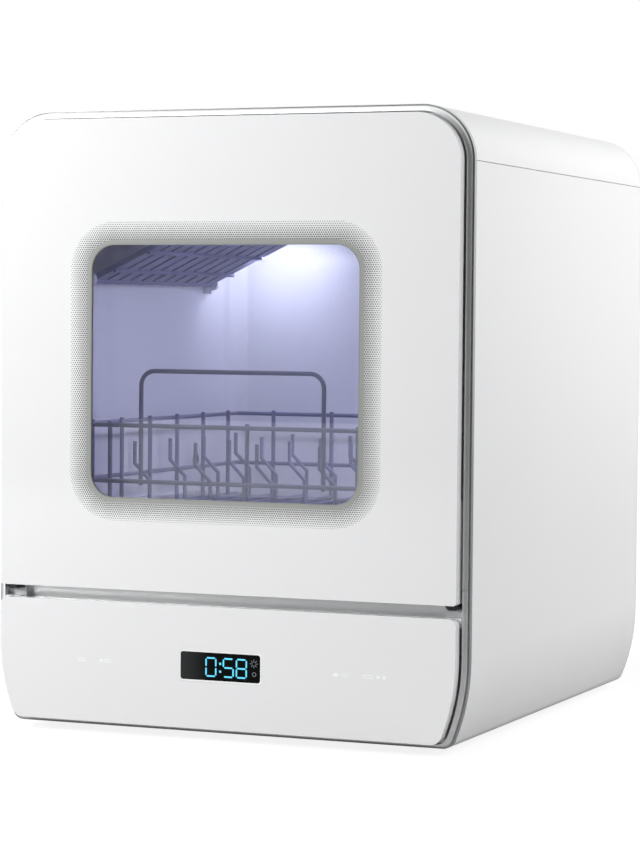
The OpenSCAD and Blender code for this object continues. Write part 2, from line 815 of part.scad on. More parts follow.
module filter_plate() color(steel) {
    difference() {
        rod_z(well_x, at(well_in), tub_z - plate_in, tub_z - plate_in + 1.2, well_r - gap);
        rod_z(well_x, at(well_in), tub_z - 7, tub_z - 4, cup_r + gap);
        for (k = [0, 1], i = [0 : 19]) translate([well_x, at(well_in), tub_z - 7]) rotate(18 * i + 9 * k)
            translate([cup_r + 9 + 8 * k, 0, 0]) cylinder(h = 4, r = 2);
    }
}

// Filter cup that lifts out after a twist, with a bar across its mouth
module filter_cup() color(violet_grey) {
    translate([well_x, at(well_in), 0]) {
        difference() {
            union() {
                rod_z(0, 0, well_z - 26, tub_z - 4.6, cup_r);
                rod_z(0, 0, tub_z - 4.6, tub_z - 3, cup_r + 4);
            }
            rod_z(0, 0, well_z - 24, tub_z, cup_r - 2);
            for (i = [0 : 9]) rotate(36 * i) translate([cup_r, 0, well_z - 20])
                cube([12, 5, 16]);
        }
        block([-cup_r + 1, -3, tub_z - 6], [cup_r - 1, 3, tub_z + 2]);
    }
}

module spray_hub() color("#d0d2d6") {
    translate([0, at(hub_in), 0]) {
        difference() {
            union() {
                rod_z(0, 0, tub_z, arm_z - gap, 15);
                rod_z(0, 0, tub_z - tub_wall - 0.4, tub_z + 0.5, 7.9);
                rod_z(0, 0, tub_z - tub_wall - 10, tub_z, spigot_r);
                rod_z(0, 0, tub_z, arm_z + arm_t + gap, 6);
            }
            rod_z(0, 0, tub_z - 20, arm_z + arm_t - 2, 4);
        }
        rod_z(0, 0, arm_z + arm_t + gap, arm_z + arm_t + 3, 9);
    }
}

// Blade of the arm: a tapered plan, its tips set back so that the jets turn it
module arm_plan(d) {
    for (s = [0, 180]) rotate(s) hull() {
        circle(arm_w / 2 - d);
        translate([arm_len / 4, 3]) circle(arm_w / 2 - 6 - d);
        translate([arm_len / 2 - 12, 9]) circle(12 - d);
    }
}

module spray_arm() color(violet_grey) {
    translate([0, at(hub_in), arm_z]) rotate(20) difference() {
        union() {
            linear_extrude(arm_t - 2) arm_plan(0);
            linear_extrude(arm_t - 0.5) arm_plan(3);
            linear_extrude(arm_t) circle(14);
        }
        translate([0, 0, -1]) cylinder(h = arm_t + 2, r = 6 + fit);
        for (s = [0, 180], i = [0 : 5]) rotate(s) translate([28 + 18 * i, 1 + 1.3 * i, arm_t - 3])
            cylinder(h = 4, r = 1.4);
    }
}

module water_float() color(pale) {
    difference() {
        union() {
            rod_z(float_x, at(float_at), tub_z + 0.2, tub_z + 13, float_r);
            rod_z(float_x, at(float_at), tub_z + 12.9, tub_z + 16, float_r - 3);
        }
        rod_z(float_x, at(float_at), tub_z, tub_z + 11, float_r - 2);
    }
    rod_z(float_x, at(float_at), tub_z - 14, tub_z + 12, float_stem);
}

module float_switch() color("#50545a") {
    difference() {
        translate([float_x - 12, at(float_at) - 9, tub_z - 32]) cube([24, 18, 32 - tub_wall]);
        rod_z(float_x, at(float_at), tub_z - 16, tub_z, float_stem + 0.7);
    }
}

// Ledges on the tub's walls that carry the rack, with a lip over its glides
module rack_rails() color("#dcdce4") {
    pair() {
        block([tub_x - 13, at(40), rail_z - 4], [tub_x - 0.8, at(tub_back - cove_r), rail_z]);
        block([tub_x - 3, at(40), rail_z - 0.1], [tub_x, at(tub_back - cove_r), rail_z + 9.4]);
        block([tub_x - 10, at(40), rail_z + 7.6], [tub_x, at(tub_back - cove_r), rail_z + 9.6]);
    }
}

module lock_housing() color(dark) {
    difference() {
        block([-24, at(flange_in + flange_t), strike_z - 8], [24, at(flange_in + 29), strike_z + 14]);
        block([-12, at(flange_in + 2), strike_z - 4.5], [12, at(flange_in + 20), strike_z + 8.5]);
    }
}

module door_front() color(white) {
    difference() {
        prism(0, edge_t) door_shape(0);
        prism(glass_t, edge_t + 1) door_shape(2.5);
        prism(-1, glass_t + 1) window_shape(-0.1);
        pair() drum(0.1);
    }
}

module window_glass() color("#9db4c0") {
    prism(0, glass_t) window_shape(0);
}

module window_seal() color("#a0a39e") {
    prism(glass_t, glass_t + 2) difference() {
        window_shape(-8);
        window_shape(1.5);
    }
}

// Moulded inner side of the door with its window and the detergent cup
module door_liner() color("#e6e6ea") {
    difference() {
        union() {
            prism(edge_t, edge_t + 2) door_shape(1);
            prism(edge_t, door_t) liner_shape(0);
        }
        difference() {
            prism(edge_t - 1, door_t - liner_t) liner_shape(liner_t);
            block([cup_x0 - 2, at(door_t - cup_d - 2), liner_z0 + 5],
                [cup_x1 + 2, at(door_t), lid_z1 + 2]);
        }
        block([cup_x0, at(door_t - cup_d), lid_z0 + 2], [cup_x1, at(door_t + 1), lid_z1 - 2]);
        prism(0, door_t + 1) inner_shape(0);
        pair() block([liner_x + 0.2, at(0), 0], [case_x, at(door_t), door_z + window_low + 16]);
        pair() block([liner_x - 3, at(0), 0], [case_x, at(door_t), liner_z0 - 4]);
    }
    guide_x = cup_x0 - lid_travel - 4;
    for (s = [-1, 1]) translate([0, at(door_t), (lid_z0 + lid_z1) / 2]) scale([1, 1, s]) {
        edge = (lid_z1 - lid_z0) / 2;
        block([guide_x, -0.1, edge + gap], [cup_x1 + 2, 2, edge + gap + lid_guide]);
        block([guide_x, 2, edge - 0.7], [cup_x1 + 2, 2.6, edge + gap + lid_guide]);
    }
}

module detergent_lid() color(pale) {
    difference() {
        block([cup_x0 - 2, at(door_t + 0.1), lid_z0], [cup_x1, at(door_t + 1.8), lid_z1]);
        rod_y(cup_x1 - 8, at(door_t + 1), at(door_t + 3), (lid_z0 + lid_z1) / 2, 5);
    }
}

module inner_glass() color("#9db4c0") {
    prism(door_t - liner_t - glass_t, door_t - liner_t) inner_shape(4);
}

// Steel arms inside the door, their eyes on the hinge pins
module hinge_arms() color(steel) {
    pair() difference() {
        union() {
            rod_x(arm_x, arm_x + strap_t, hinge_y, hinge_z, eye_r);
            block([arm_x, at(edge_t + gap), hinge_z], [arm_x + strap_t, hinge_y + 2.5, hinge_z + 14]);
            block([arm_x, at(glass_t), hinge_z + 10], [arm_x + strap_t, hinge_y + 2.5, hinge_z + 72]);
        }
        rod_x(arm_x - 1, arm_x + strap_t + 1, hinge_y, hinge_z, hinge_pin_r + fit);
    }
}

// Rounded drum about the hinge axis, grown by d
module drum(d) {
    translate([knuckle_x, hinge_y, hinge_z]) rotate([0, 90, 0]) rotate_extrude() {
        translate([0, -knuckle_w - d]) square([knuckle_r - knuckle_round, 2 * (knuckle_w + d)]);
        translate([0, knuckle_round - knuckle_w]) square([knuckle_r + d, 2 * (knuckle_w - knuckle_round)]);
        for (s = [-1, 1]) translate([knuckle_r - knuckle_round, s * (knuckle_w - knuckle_round)])
            circle(knuckle_round + d);
    }
}

// Black knuckles round the eyes of the arms
module hinge_knuckles() color("#1c1c1e") {
    pair() difference() {
        drum(0);
        rod_x(arm_x, case_x, hinge_y, hinge_z, hinge_pin_r + fit);
        rod_x(arm_x, arm_x + strap_t + fit, hinge_y, hinge_z, eye_r + fit);
        block([arm_x, at(0), hinge_z], [arm_x + strap_t + fit, hinge_y + eye_r + fit, case_top]);
    }
}

module hinge_covers() color(white) {
    pair() difference() {
        block([arm_x + strap_t + 1, at(edge_t), door_z + 1], [door_w / 2, at(15), door_z + 76]);
        drum(0.1);
        rod_x(arm_x, case_x, hinge_y, hinge_z, hinge_pin_r + fit);
        translate([0, at(15), door_z + 76]) rotate([45, 0, 0]) cube([case_w, 9, 9], center = true);
    }
}

module door_strike() color(steel) {
    block([-8, at(door_t), strike_z - 1.5], [8, at(door_t + 13), strike_z + 1.5]);
    block([-8, at(door_t + 10), strike_z], [8, at(door_t + 13), strike_z + 4]);
    block([-14, at(door_t), strike_z - 8], [14, at(door_t + 1.5), strike_z + 8]);
}

// Wire rack: long wires lie on the cross wires, and the fences stand round them
module rack_floor() color(violet_grey) {
    for (x = [-rack_x, rack_x]) rod_y(x, at(rack_front), at(rack_back), rack_z, wire_r);
    for (i = [-1 : tine_rows - 1])
        rod_y(tine_x(i) + tine_pitch / 2, at(rack_front), at(rack_back), rack_z, wire_r);
    cross_pitch = (rack_back - rack_front - lay) / (cross_wires - 1);
    for (i = [0 : cross_wires - 1])
        rod_x(-rack_x, rack_x, at(rack_front + lay + i * cross_pitch), rack_z - lay, wire_r);
}

module front_fence() color(violet_grey) {
    for (z = [fence_mid, fence_top])
        rod_x(-rack_x, rack_x, at(rack_front), rack_z + z, wire_r);
    for (x = posts) rod_z(handle_x + x, at(rack_front + lay), rack_z - lay, rack_z + fence_top + 3, wire_r);
    translate([handle_x, at(rack_front + lay), rack_z]) {
        for (s = [-1, 1]) {
            rod_z(s * handle_w / 2, 0, fence_mid - 3, handle_top - handle_r, wire_r);
            translate([s * (handle_w / 2 - handle_r), 0, handle_top - handle_r]) rotate([90, 0, 0])
                rotate_extrude(angle = 90, start = s > 0 ? 0 : 90) translate([handle_r, 0]) circle(wire_r);
        }
        rod_x(handle_r - handle_w / 2, handle_w / 2 - handle_r, 0, handle_top, wire_r);
    }
}

module back_fence() color(violet_grey) {
    for (z = [fence_mid, fence_top])
        rod_x(-rack_x, rack_x, at(rack_back), rack_z + z, wire_r);
    for (i = [-2 : 2]) rod_z(i * 54, at(rack_back - lay), rack_z - lay, rack_z + fence_top + 3, wire_r);
}

module side_fence() {
    for (z = [fence_mid, fence_top])
        rod_y(rack_x, at(rack_front), at(rack_back), rack_z + z, wire_r);
    for (i = [0 : 5]) rod_z(rack_x - lay, at(rack_front + 22 + i * (rack_d - 50) / 5), rack_z - lay,
        rack_z + fence_top + 3, wire_r);
}
module left_fence() color(violet_grey) mirror([1, 0, 0]) side_fence();
module right_fence() color(violet_grey) side_fence();

// Rows of kinked tines that hold bowls and plates on edge
module tine() {
    knee = tine_h - 17;
    rod_z(0, 0, 0, knee - tine_kink, tine_r);
    translate([0, 0, knee - tine_kink]) sphere(tine_r + fit);
    translate([0, 0, knee - tine_kink]) rotate([0, -45, 0])
        cylinder(h = tine_kink * sqrt(2), r = tine_r);
    translate([-tine_kink, 0, knee]) sphere(tine_r + fit);
    rod_z(-tine_kink, 0, knee, tine_h, tine_r);
}

module plate_tines() color(violet_grey) {
    for (i = [0 : tine_rows - 1]) {
        rod_y(tine_x(i), at(rack_front + 20), at(rack_back - 8), rack_z, wire_r);
        for (j = [0 : tine_cols - 1])
            translate([tine_x(i), at(rack_front + 52 + j * 64), rack_z]) tine();
    }
}

module rack_glides() color("#f0f0f0") {
    pair() for (d = [rack_front + 34, rack_back - 34]) difference() {
        block([rack_x, at(d - 10), rail_z + gap], [tub_x - 4, at(d + 10), rail_z + 7.2]);
        rod_y(rack_x, at(d - 11), at(d + 11), rack_z, wire_r + fit);
    }
}

module shelf_brackets() color("#e0e0ec") {
    for (d = [shelf_in - slat_w / 2 - 7, shelf_in + shelf_len + slat_w / 2 + 2]) difference() {
        union() {
            block([0.2 - tub_x, at(d), shelf_z - 9], [shelf_x, at(d + 5), shelf_z + 9]);
            rod_y(shelf_x, at(d), at(d + 5), shelf_z, 6);
        }
        rod_y(shelf_x, at(d - 1), at(d + 6), shelf_z, 2.5 + fit);
    }
}

// Slatted shelf for cups, tilted up about its pivot on the left wall
module upper_shelf() color(violet_grey) {
    translate([shelf_x, at(shelf_in), shelf_z]) rotate([0, -shelf_tilt, 0]) {
        rod_y(0, -slat_w / 2 - 6, shelf_len + slat_w / 2 + 6, 0, 2.5);
        rod_y(0, -slat_w / 2, shelf_len + slat_w / 2, 0, 3.2);
        for (i = [0 : slats - 1]) translate([0, i * slat_pitch, -slat_t / 2]) linear_extrude(slat_t) {
            translate([slat_w / 2 - 4, -slat_w / 2]) square([slat_len + 4 - slat_w, slat_w]);
            for (x = [slat_w / 2 - 4, slat_len - slat_w / 2]) translate([x, 0]) circle(slat_w / 2);
        }
        for (x = [20, 52]) block([x, -slat_w / 2, -slat_t / 2 - 2],
            [x + 2, shelf_len + slat_w / 2 + 3, -slat_t / 2 + 1]);
    }
}

top_cover();
side_panel_left();
side_panel_right();
base_tray();
back_panel();
back_screws();
rubber_feet();
upper_frame();
lower_frame();
casing_trim();
hinge_brackets();
hinge_pins();
tub();
tub_gasket();
control_fascia();
display_bezel();
display_window();
display_board();
touch_sensors();
power_board();
sump();
wash_pump();
drain_pump();
water_heater();
inlet_valve();
internal_hoses();
inlet_connector();
drain_connector();
cord_gland();
fan_housing();
fan_motor();
fan_wheel();
interior_lamp();
filter_plate();
filter_cup();
spray_hub();
spray_arm();
float_switch();
water_float();
rack_rails();
lock_housing();
door_front();
window_glass();
window_seal();
door_liner();
inner_glass();
hinge_arms();
hinge_knuckles();
hinge_covers();
door_strike();
detergent_lid();
rack_floor();
front_fence();
back_fence();
left_fence();
right_fence();
plate_tines();
rack_glides();
shelf_brackets();
upper_shelf();
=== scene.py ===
"""Looks of the countertop dishwasher: its finishes, softened edges, display, lamp and studio."""
import json
import math

import bmesh
import bpy
from mathutils import Matrix, Vector


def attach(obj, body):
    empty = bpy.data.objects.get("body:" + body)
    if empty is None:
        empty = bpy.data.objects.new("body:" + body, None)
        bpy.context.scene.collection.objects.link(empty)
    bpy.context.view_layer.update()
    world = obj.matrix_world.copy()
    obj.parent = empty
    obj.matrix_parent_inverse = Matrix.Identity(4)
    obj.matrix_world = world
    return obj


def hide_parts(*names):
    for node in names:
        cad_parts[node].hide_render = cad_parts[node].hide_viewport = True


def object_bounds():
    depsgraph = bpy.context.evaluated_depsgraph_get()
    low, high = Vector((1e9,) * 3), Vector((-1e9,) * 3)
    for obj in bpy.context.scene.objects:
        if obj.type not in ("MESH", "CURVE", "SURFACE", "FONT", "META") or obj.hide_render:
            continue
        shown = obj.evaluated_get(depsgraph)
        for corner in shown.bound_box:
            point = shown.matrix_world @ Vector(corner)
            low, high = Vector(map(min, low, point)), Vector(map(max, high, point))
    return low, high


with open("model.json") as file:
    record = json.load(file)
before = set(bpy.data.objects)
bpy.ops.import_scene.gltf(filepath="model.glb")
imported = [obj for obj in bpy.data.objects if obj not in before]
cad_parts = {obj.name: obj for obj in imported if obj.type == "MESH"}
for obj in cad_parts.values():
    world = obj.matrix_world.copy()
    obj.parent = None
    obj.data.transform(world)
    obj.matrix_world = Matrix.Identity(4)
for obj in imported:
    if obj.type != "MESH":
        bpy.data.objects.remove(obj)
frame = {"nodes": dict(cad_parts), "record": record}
cad_low, cad_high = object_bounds()

# Sizes and places of the machine that its finishes follow, in mm. X runs across it with 0 in the
# middle, depths run back from the door glass, and heights rise from the table.
MM = 0.001
FRONT = cad_low.y
PANEL_LOW = 9.0
WINDOW_MID = (0.0, 271.5)
WINDOW_HALF = (108.0, 94.5)
WINDOW_CORNER = 19.0
PAST_INNER_PANE = (136.0, 116.0)
TOUCH_HEIGHT = 55.2


def behind(depth):
    """Y of a place that many mm behind the door glass."""
    return FRONT + depth * MM


# Node helpers


def linear(code):
    """An sRGB hex colour as the linear values that a shader takes."""
    parts = [int(code[i:i + 2], 16) / 255 for i in (1, 3, 5)]
    parts = [p / 12.92 if p <= 0.04045 else ((p + 0.055) / 1.055) ** 2.4 for p in parts]
    return (*parts, 1.0)


def add(tree, kind, sockets=None, **settings):
    """A node with its settings; a socket is set to a value or linked to another node's output."""
    node = tree.nodes.new(kind)
    for key, value in settings.items():
        setattr(node, key, value)
    for key, value in (sockets or {}).items():
        if isinstance(value, bpy.types.NodeSocket):
            tree.links.new(value, node.inputs[key])
        else:
            node.inputs[key].default_value = value
    return node


def new_finish(name, surface):
    """A material with one Principled shader, its sockets set from surface."""
    finish = bpy.data.materials.new(name)
    finish.use_nodes = True
    tree = finish.node_tree
    tree.nodes.clear()
    shader = add(tree, "ShaderNodeBsdfPrincipled", surface)
    add(tree, "ShaderNodeOutputMaterial", {"Surface": shader.outputs[0]})
    place = add(tree, "ShaderNodeTexCoord").outputs["Object"]
    return finish, tree, shader, place


def mottle(tree, place, code_a, code_b, size_mm):
    """Slow drift between two near colours over size_mm."""
    noise = add(tree, "ShaderNodeTexNoise",
                {"Vector": place, "Scale": 1000.0 / size_mm, "Detail": 2.0, "Roughness": 0.5})
    return add(tree, "ShaderNodeMix", {0: noise.outputs["Fac"], 6: linear(code_a), 7: linear(code_b)},
               data_type="RGBA").outputs[2]


def grain(tree, shader, place, size_mm, height_mm, strength=1.0):
    """Fine relief of a surface, as a bump."""
    noise = add(tree, "ShaderNodeTexNoise",
                {"Vector": place, "Scale": 1000.0 / size_mm, "Detail": 2.0, "Roughness": 0.55})
    bump = add(tree, "ShaderNodeBump",
               {"Height": noise.outputs["Fac"], "Distance": height_mm * MM, "Strength": strength})
    tree.links.new(bump.outputs[0], shader.inputs["Normal"])
    return noise.outputs["Fac"]


def uneven_gloss(tree, shader, fac, low, high):
    """Roughness that follows the relief between two levels."""
    level = add(tree, "ShaderNodeMapRange", {"Value": fac, "To Min": low, "To Max": high})
    tree.links.new(level.outputs[0], shader.inputs["Roughness"])


def step_down(tree, value, edge, soft):
    """1 below edge and 0 above it, over a soft margin."""
    return add(tree, "ShaderNodeMapRange",
               {"Value": value, "From Min": edge - soft, "From Max": edge + soft,
                "To Min": 1.0, "To Max": 0.0}, interpolation_type="SMOOTHSTEP").outputs[0]


def box_distance(tree, place, centre, half, radius):
    """Distance in mm from a rounded rectangle in the XZ plane, 0 or less inside it."""
    flat = place
    for operation, other in (("MULTIPLY", (1000, 0, 1000)), ("SUBTRACT", (centre[0], 0, centre[1])),
                             ("ABSOLUTE", (0, 0, 0)), ("SUBTRACT", (half[0] - radius, 0, half[1] - radius)),
                             ("MAXIMUM", (0, 0, 0))):
        flat = add(tree, "ShaderNodeVectorMath", {0: flat, 1: other}, operation=operation).outputs[0]
    reach = add(tree, "ShaderNodeVectorMath", {0: flat}, operation="LENGTH").outputs["Value"]
    return add(tree, "ShaderNodeMath", {0: reach, 1: radius}, operation="SUBTRACT").outputs[0]


def dot_lattice(tree, place, pitch):
    """Distance in mm to the nearest point of a triangular lattice in the XZ plane."""
    row = pitch * math.sqrt(3)
    nearest = []
    for shift in (0.0, 0.5):
        cell = place
        for operation, other in (("MULTIPLY", (1000 / pitch, 0, 1000 / row)), ("ADD", (shift, 0.5, shift)),
                                 ("FRACTION", (0, 0, 0)), ("SUBTRACT", (0.5, 0.5, 0.5)),
                                 ("MULTIPLY", (pitch, 0, row))):
            cell = add(tree, "ShaderNodeVectorMath", {0: cell, 1: other}, operation=operation).outputs[0]
        nearest.append(add(tree, "ShaderNodeVectorMath", {0: cell}, operation="LENGTH").outputs["Value"])
    return add(tree, "ShaderNodeMath", {0: nearest[0], 1: nearest[1]}, operation="MINIMUM").outputs[0]


# Kinds of finish


def lacquer(name, code_a, code_b, gloss, metallic):
    """Silver lacquer sprayed on moulded plastic: its fine metal flakes mirror the room softly."""
    finish, tree, shader, place = new_finish(name, {"Metallic": metallic})
    tree.links.new(mottle(tree, place, code_a, code_b, 40.0), shader.inputs["Base Color"])
    # Real flakes are under 0.05 mm; they are drawn at 0.5 mm so that they show at all.
    fac = grain(tree, shader, place, 0.5, 0.003, 0.5)
    uneven_gloss(tree, shader, fac, gloss - 0.04, gloss + 0.04)
    return finish


def plastic(name, code_a, code_b, gloss, grain_mm, height_mm, drift_mm=60.0, ior=1.49):
    """Moulded plastic or rubber: the mould's spark-eroded texture under an even colour.
    The real texture is 0.05 to 0.1 mm wide; it is drawn as coarse as it needs to show."""
    finish, tree, shader, place = new_finish(name, {"IOR": ior})
    tree.links.new(mottle(tree, place, code_a, code_b, drift_mm), shader.inputs["Base Color"])
    fac = grain(tree, shader, place, grain_mm, height_mm)
    uneven_gloss(tree, shader, fac, gloss - 0.05, gloss + 0.05)
    return finish


def metal(name, code_a, code_b, gloss, grain_mm, height_mm, stretch=(1, 1, 1)):
    """Bare metal: its rolling or grinding lines run along the axis with the smallest stretch.
    Real lines lie about 0.05 mm apart; they are drawn as coarse as they need to show."""
    finish, tree, shader, place = new_finish(name, {"Metallic": 1.0})
    lines = add(tree, "ShaderNodeMapping", {"Vector": place, "Scale": stretch}).outputs[0]
    tree.links.new(mottle(tree, lines, code_a, code_b, 8.0), shader.inputs["Base Color"])
    fac = grain(tree, shader, lines, grain_mm, height_mm)
    uneven_gloss(tree, shader, fac, gloss - 0.07, gloss + 0.07)
    return finish


def powder_coat(name, code_a, code_b, gloss):
    """Powder-coated sheet steel: an even satin with the faint orange peel of the baked coat,
    whose waves are 1.6 mm wide, as real ones are."""
    finish, tree, shader, place = new_finish(
        name, {"IOR": 1.5, "Specular IOR Level": 0.25, "Coat Weight": 0.05, "Coat Roughness": 0.25})
    tree.links.new(mottle(tree, place, code_a, code_b, 160.0), shader.inputs["Base Color"])
    fac = grain(tree, shader, place, 1.6, 0.004, 0.6)
    uneven_gloss(tree, shader, fac, gloss - 0.03, gloss + 0.03)
    return finish


def clear_glass(name, tint, half):
    """Float glass, polished and clear; a grey print along its edge hides the seal behind it."""
    finish, tree, shader, place = new_finish(name, {"IOR": 1.45})
    away = box_distance(tree, place, WINDOW_MID, half, WINDOW_CORNER)
    clear = step_down(tree, away, -0.8, 0.1)
    tree.links.new(clear, shader.inputs["Transmission Weight"])
    colour = add(tree, "ShaderNodeMix", {0: clear, 6: linear(PRINT_GREY), 7: linear(tint)}, data_type="RGBA")
    tree.links.new(colour.outputs[2], shader.inputs["Base Color"])
    fac = add(tree, "ShaderNodeTexNoise", {"Vector": place, "Scale": 6.0}).outputs["Fac"]
    uneven_gloss(tree, shader, fac, 0.0, 0.012)
    return finish


def glowing(name, code, strength, edge_code):
    """A lit lens or digit: it gives light, a little weaker where the moulding is thick."""
    finish, tree, shader, place = new_finish(name, {"Roughness": 0.4, "Emission Strength": strength})
    glow = mottle(tree, place, code, edge_code, 6.0)
    tree.links.new(glow, shader.inputs["Emission Color"])
    tree.links.new(glow, shader.inputs["Base Color"])
    return finish


# The front's glass, painted from behind

PAINT_A, PAINT_B = "#EBEBEC", "#EEEEEF"
PAINTED_GLASS = {"Roughness": 0.32, "IOR": 1.52, "Coat Weight": 1.0, "Coat Roughness": 0.04, "Coat IOR": 1.52}
PRINT_GREY, DOT_GREY, MARK_WHITE = "#999B97", "#686A68", "#FCFDFE"

# The print round the window, in mm: how far out from the window's edge the band and the dots reach
# and where the fade would end, the dots' pitch and first radius, and the depth of the pane's face.
BAND_WIDE, DOTS_END, FADE_END = 3.0, 16.6, 18.5
DOT_PITCH, DOT_RADIUS = 1.8, 0.8
FACE_DEPTH = 1.2


def printed_glass(name):
    """Tempered glass, painted white behind: a clear hard gloss over an even white, as on the front.
    The print round the window is a warm grey band that breaks up into dots further out."""
    finish, tree, shader, place = new_finish(name, PAINTED_GLASS)
    white = mottle(tree, place, PAINT_A, PAINT_B, 140.0)
    away = box_distance(tree, place, WINDOW_MID, WINDOW_HALF, WINDOW_CORNER)
    band = step_down(tree, away, BAND_WIDE, 0.3)
    # The dots keep their real pitch, which still shows in the photograph as a fine screen.
    # Their area falls outwards so that the tone fades evenly from the band to the white.
    dots = dot_lattice(tree, place, DOT_PITCH)
    size = add(tree, "ShaderNodeMath", {0: away, 1: FADE_END}, operation="DIVIDE", use_clamp=True).outputs[0]
    size = add(tree, "ShaderNodeMath", {0: size, 1: 1.5}, operation="POWER").outputs[0]
    size = add(tree, "ShaderNodeMapRange", {"Value": size, "To Min": DOT_RADIUS ** 2, "To Max": 0.0}).outputs[0]
    size = add(tree, "ShaderNodeMath", {0: size, 1: 0.5}, operation="POWER").outputs[0]
    ink = add(tree, "ShaderNodeMath", {0: dots, 1: size}, operation="SUBTRACT").outputs[0]
    ink = step_down(tree, ink, 0.0, 0.08)
    inside = step_down(tree, away, DOTS_END, 0.2)
    # The print lies on the pane's face only, not on the edge behind it.
    back = add(tree, "ShaderNodeSeparateXYZ", {0: place}).outputs[1]
    face = step_down(tree, back, behind(FACE_DEPTH), 0.0002)
    for part in (inside, face):
        ink = add(tree, "ShaderNodeMath", {0: ink, 1: part}, operation="MULTIPLY").outputs[0]
    band = add(tree, "ShaderNodeMath", {0: band, 1: face}, operation="MULTIPLY").outputs[0]
    colour = white
    for share, grey in ((ink, DOT_GREY), (band, PRINT_GREY)):
        colour = add(tree, "ShaderNodeMix", {0: share, 6: colour, 7: linear(grey)}, data_type="RGBA").outputs[2]
    tree.links.new(colour, shader.inputs["Base Color"])
    return finish


def touch_glass(name, marks):
    """The same painted glass on the control panel, with faint plain marks over its touch keys.
    A mark is its X, half width, half height and the width of its line, 0 for a filled one."""
    finish, tree, shader, place = new_finish(name, PAINTED_GLASS)
    white = mottle(tree, place, PAINT_A, PAINT_B, 140.0)
    ink = None
    for x, half_x, half_z, line in marks:
        away = box_distance(tree, place, (x, TOUCH_HEIGHT), (half_x, half_z), min(half_x, half_z))
        shape = step_down(tree, away, 0.0, 0.2)
        if line:
            hole = step_down(tree, away, -line, 0.2)
            shape = add(tree, "ShaderNodeMath", {0: shape, 1: hole}, operation="SUBTRACT").outputs[0]
        ink = shape if ink is None else add(tree, "ShaderNodeMath", {0: ink, 1: shape},
                                            operation="MAXIMUM").outputs[0]
    colour = add(tree, "ShaderNodeMix", {0: ink, 6: white, 7: linear(MARK_WHITE)}, data_type="RGBA").outputs[2]
    tree.links.new(colour, shader.inputs["Base Color"])
    return finish


def display_glass(name):
    """Smoked acrylic: black behind the digits, with a painted reflection over the bare left third, where the
    base colour turns grey.
    """
    finish, tree, shader, place = new_finish(name, {"IOR": 1.4, "Specular IOR Level": 0.2})
    across = add(tree, "ShaderNodeSeparateXYZ", {0: place}).outputs[0]
    # Painted reflection: the base colour grows grey towards the left and stands in for a soft light patch
    # mirrored there.
    painted_sheen = step_down(tree, across, -19.0 * MM, 14.0 * MM)
    black = mottle(tree, place, "#030304", "#060708", 25.0)
    colour = add(tree, "ShaderNodeMix", {0: painted_sheen, 6: black, 7: linear("#303132")}, data_type="RGBA").outputs[2]
    tree.links.new(colour, shader.inputs["Base Color"])
    # Cast sheet has long soft waves, which only bend what it mirrors.
    fac = grain(tree, shader, place, 30.0, 0.004, 0.3)
    uneven_gloss(tree, shader, fac, 0.05, 0.13)
    return finish


# Finishes of this machine. A plastic's or metal's numbers are its roughness, grain width and
# grain height in mm; a plastic's next one is the width over which its colour drifts.

# The door and panel: clear hard highlights over white.
door_white = printed_glass("back_painted_glass_door")
panel_white = touch_glass("back_painted_glass_panel", [
    (-114.0, 3.0, 1.3, 0.6), (-97.5, 1.2, 1.2, 0), (-92.5, 2.6, 1.3, 0.6), (91.5, 2.4, 1.3, 0),
    (98.5, 2.6, 1.3, 0.6), (116.5, 4.2, 1.3, 0.6), (124.5, 1.3, 1.3, 0), (129.0, 1.3, 1.3, 0)])
# The casing is satin white, and its back a duller light grey.
casing_white = powder_coat("powder_coated_steel_white", "#EDEDEE", "#F0F0F1", 0.4)
back_white = powder_coat("powder_coated_steel_back", "#DADCDD", "#E0E1E2", 0.5)
# The ring round the front mirrors the room, bright above and dark at the right. The trim beside it
# is a darker silver. The brackets' lacquer is painted near white and barely metallic, as painted light for
# their shade.
silver_ring = lacquer("silver_lacquered_abs_ring", "#F0F1F2", "#F4F5F5", 0.3, 0.85)
silver_trim = lacquer("silver_lacquered_abs_trim", "#B4B5B6", "#BABBBC", 0.3, 0.8)
# Painted light: a paler, duller copy of the lacquer, so that the shaded brackets read as lit.
silver_bracket_painted_light = lacquer("silver_lacquered_abs_bracket_painted_light", "#E2E3E4", "#E7E8E9", 0.4, 0.1)
# ABS has a soft even sheen; the display's rim is the whitest piece of the front.
display_rim = plastic("moulded_abs_bright_white", "#F6F6F6", "#F9F9F9", 0.4, 0.4, 0.003)
rim_white = plastic("moulded_abs_white", "#E6E6E7", "#EAEAEB", 0.35, 0.4, 0.003)
# The tub's polished mould leaves smooth walls that carry the lamp's light far round their coves.
tub_white = plastic("moulded_polypropylene_tub", "#E4E4EA", "#E8E8EE", 0.28, 0.8, 0.006)
# Dipped nylon lies a little lumpy on the wire, and its highlight is broad and broken.
wire_coat = plastic("nylon_dipped_steel_wire", "#7A7A98", "#8484A2", 0.38, 0.9, 0.02, 20.0, ior=1.53)
# Polypropylene is waxy and dull: grey violet on shelf and spray arm, milky on the plain parts.
shelf_grey = plastic("moulded_polypropylene_grey_violet", "#8080A0", "#8989A8", 0.45, 0.7, 0.015, 25.0)
part_white = plastic("moulded_polypropylene_natural", "#DDDEE0", "#E4E5E6", 0.45, 0.7, 0.01)
# Glass fibres near its skin make filled nylon dull; unfilled acetal is black and sleek.
dark_part = plastic("glass_filled_nylon_dark", "#2A2C2E", "#323436", 0.55, 0.5, 0.012)
black_part = plastic("moulded_acetal_black", "#121213", "#19191A", 0.32, 0.4, 0.004)
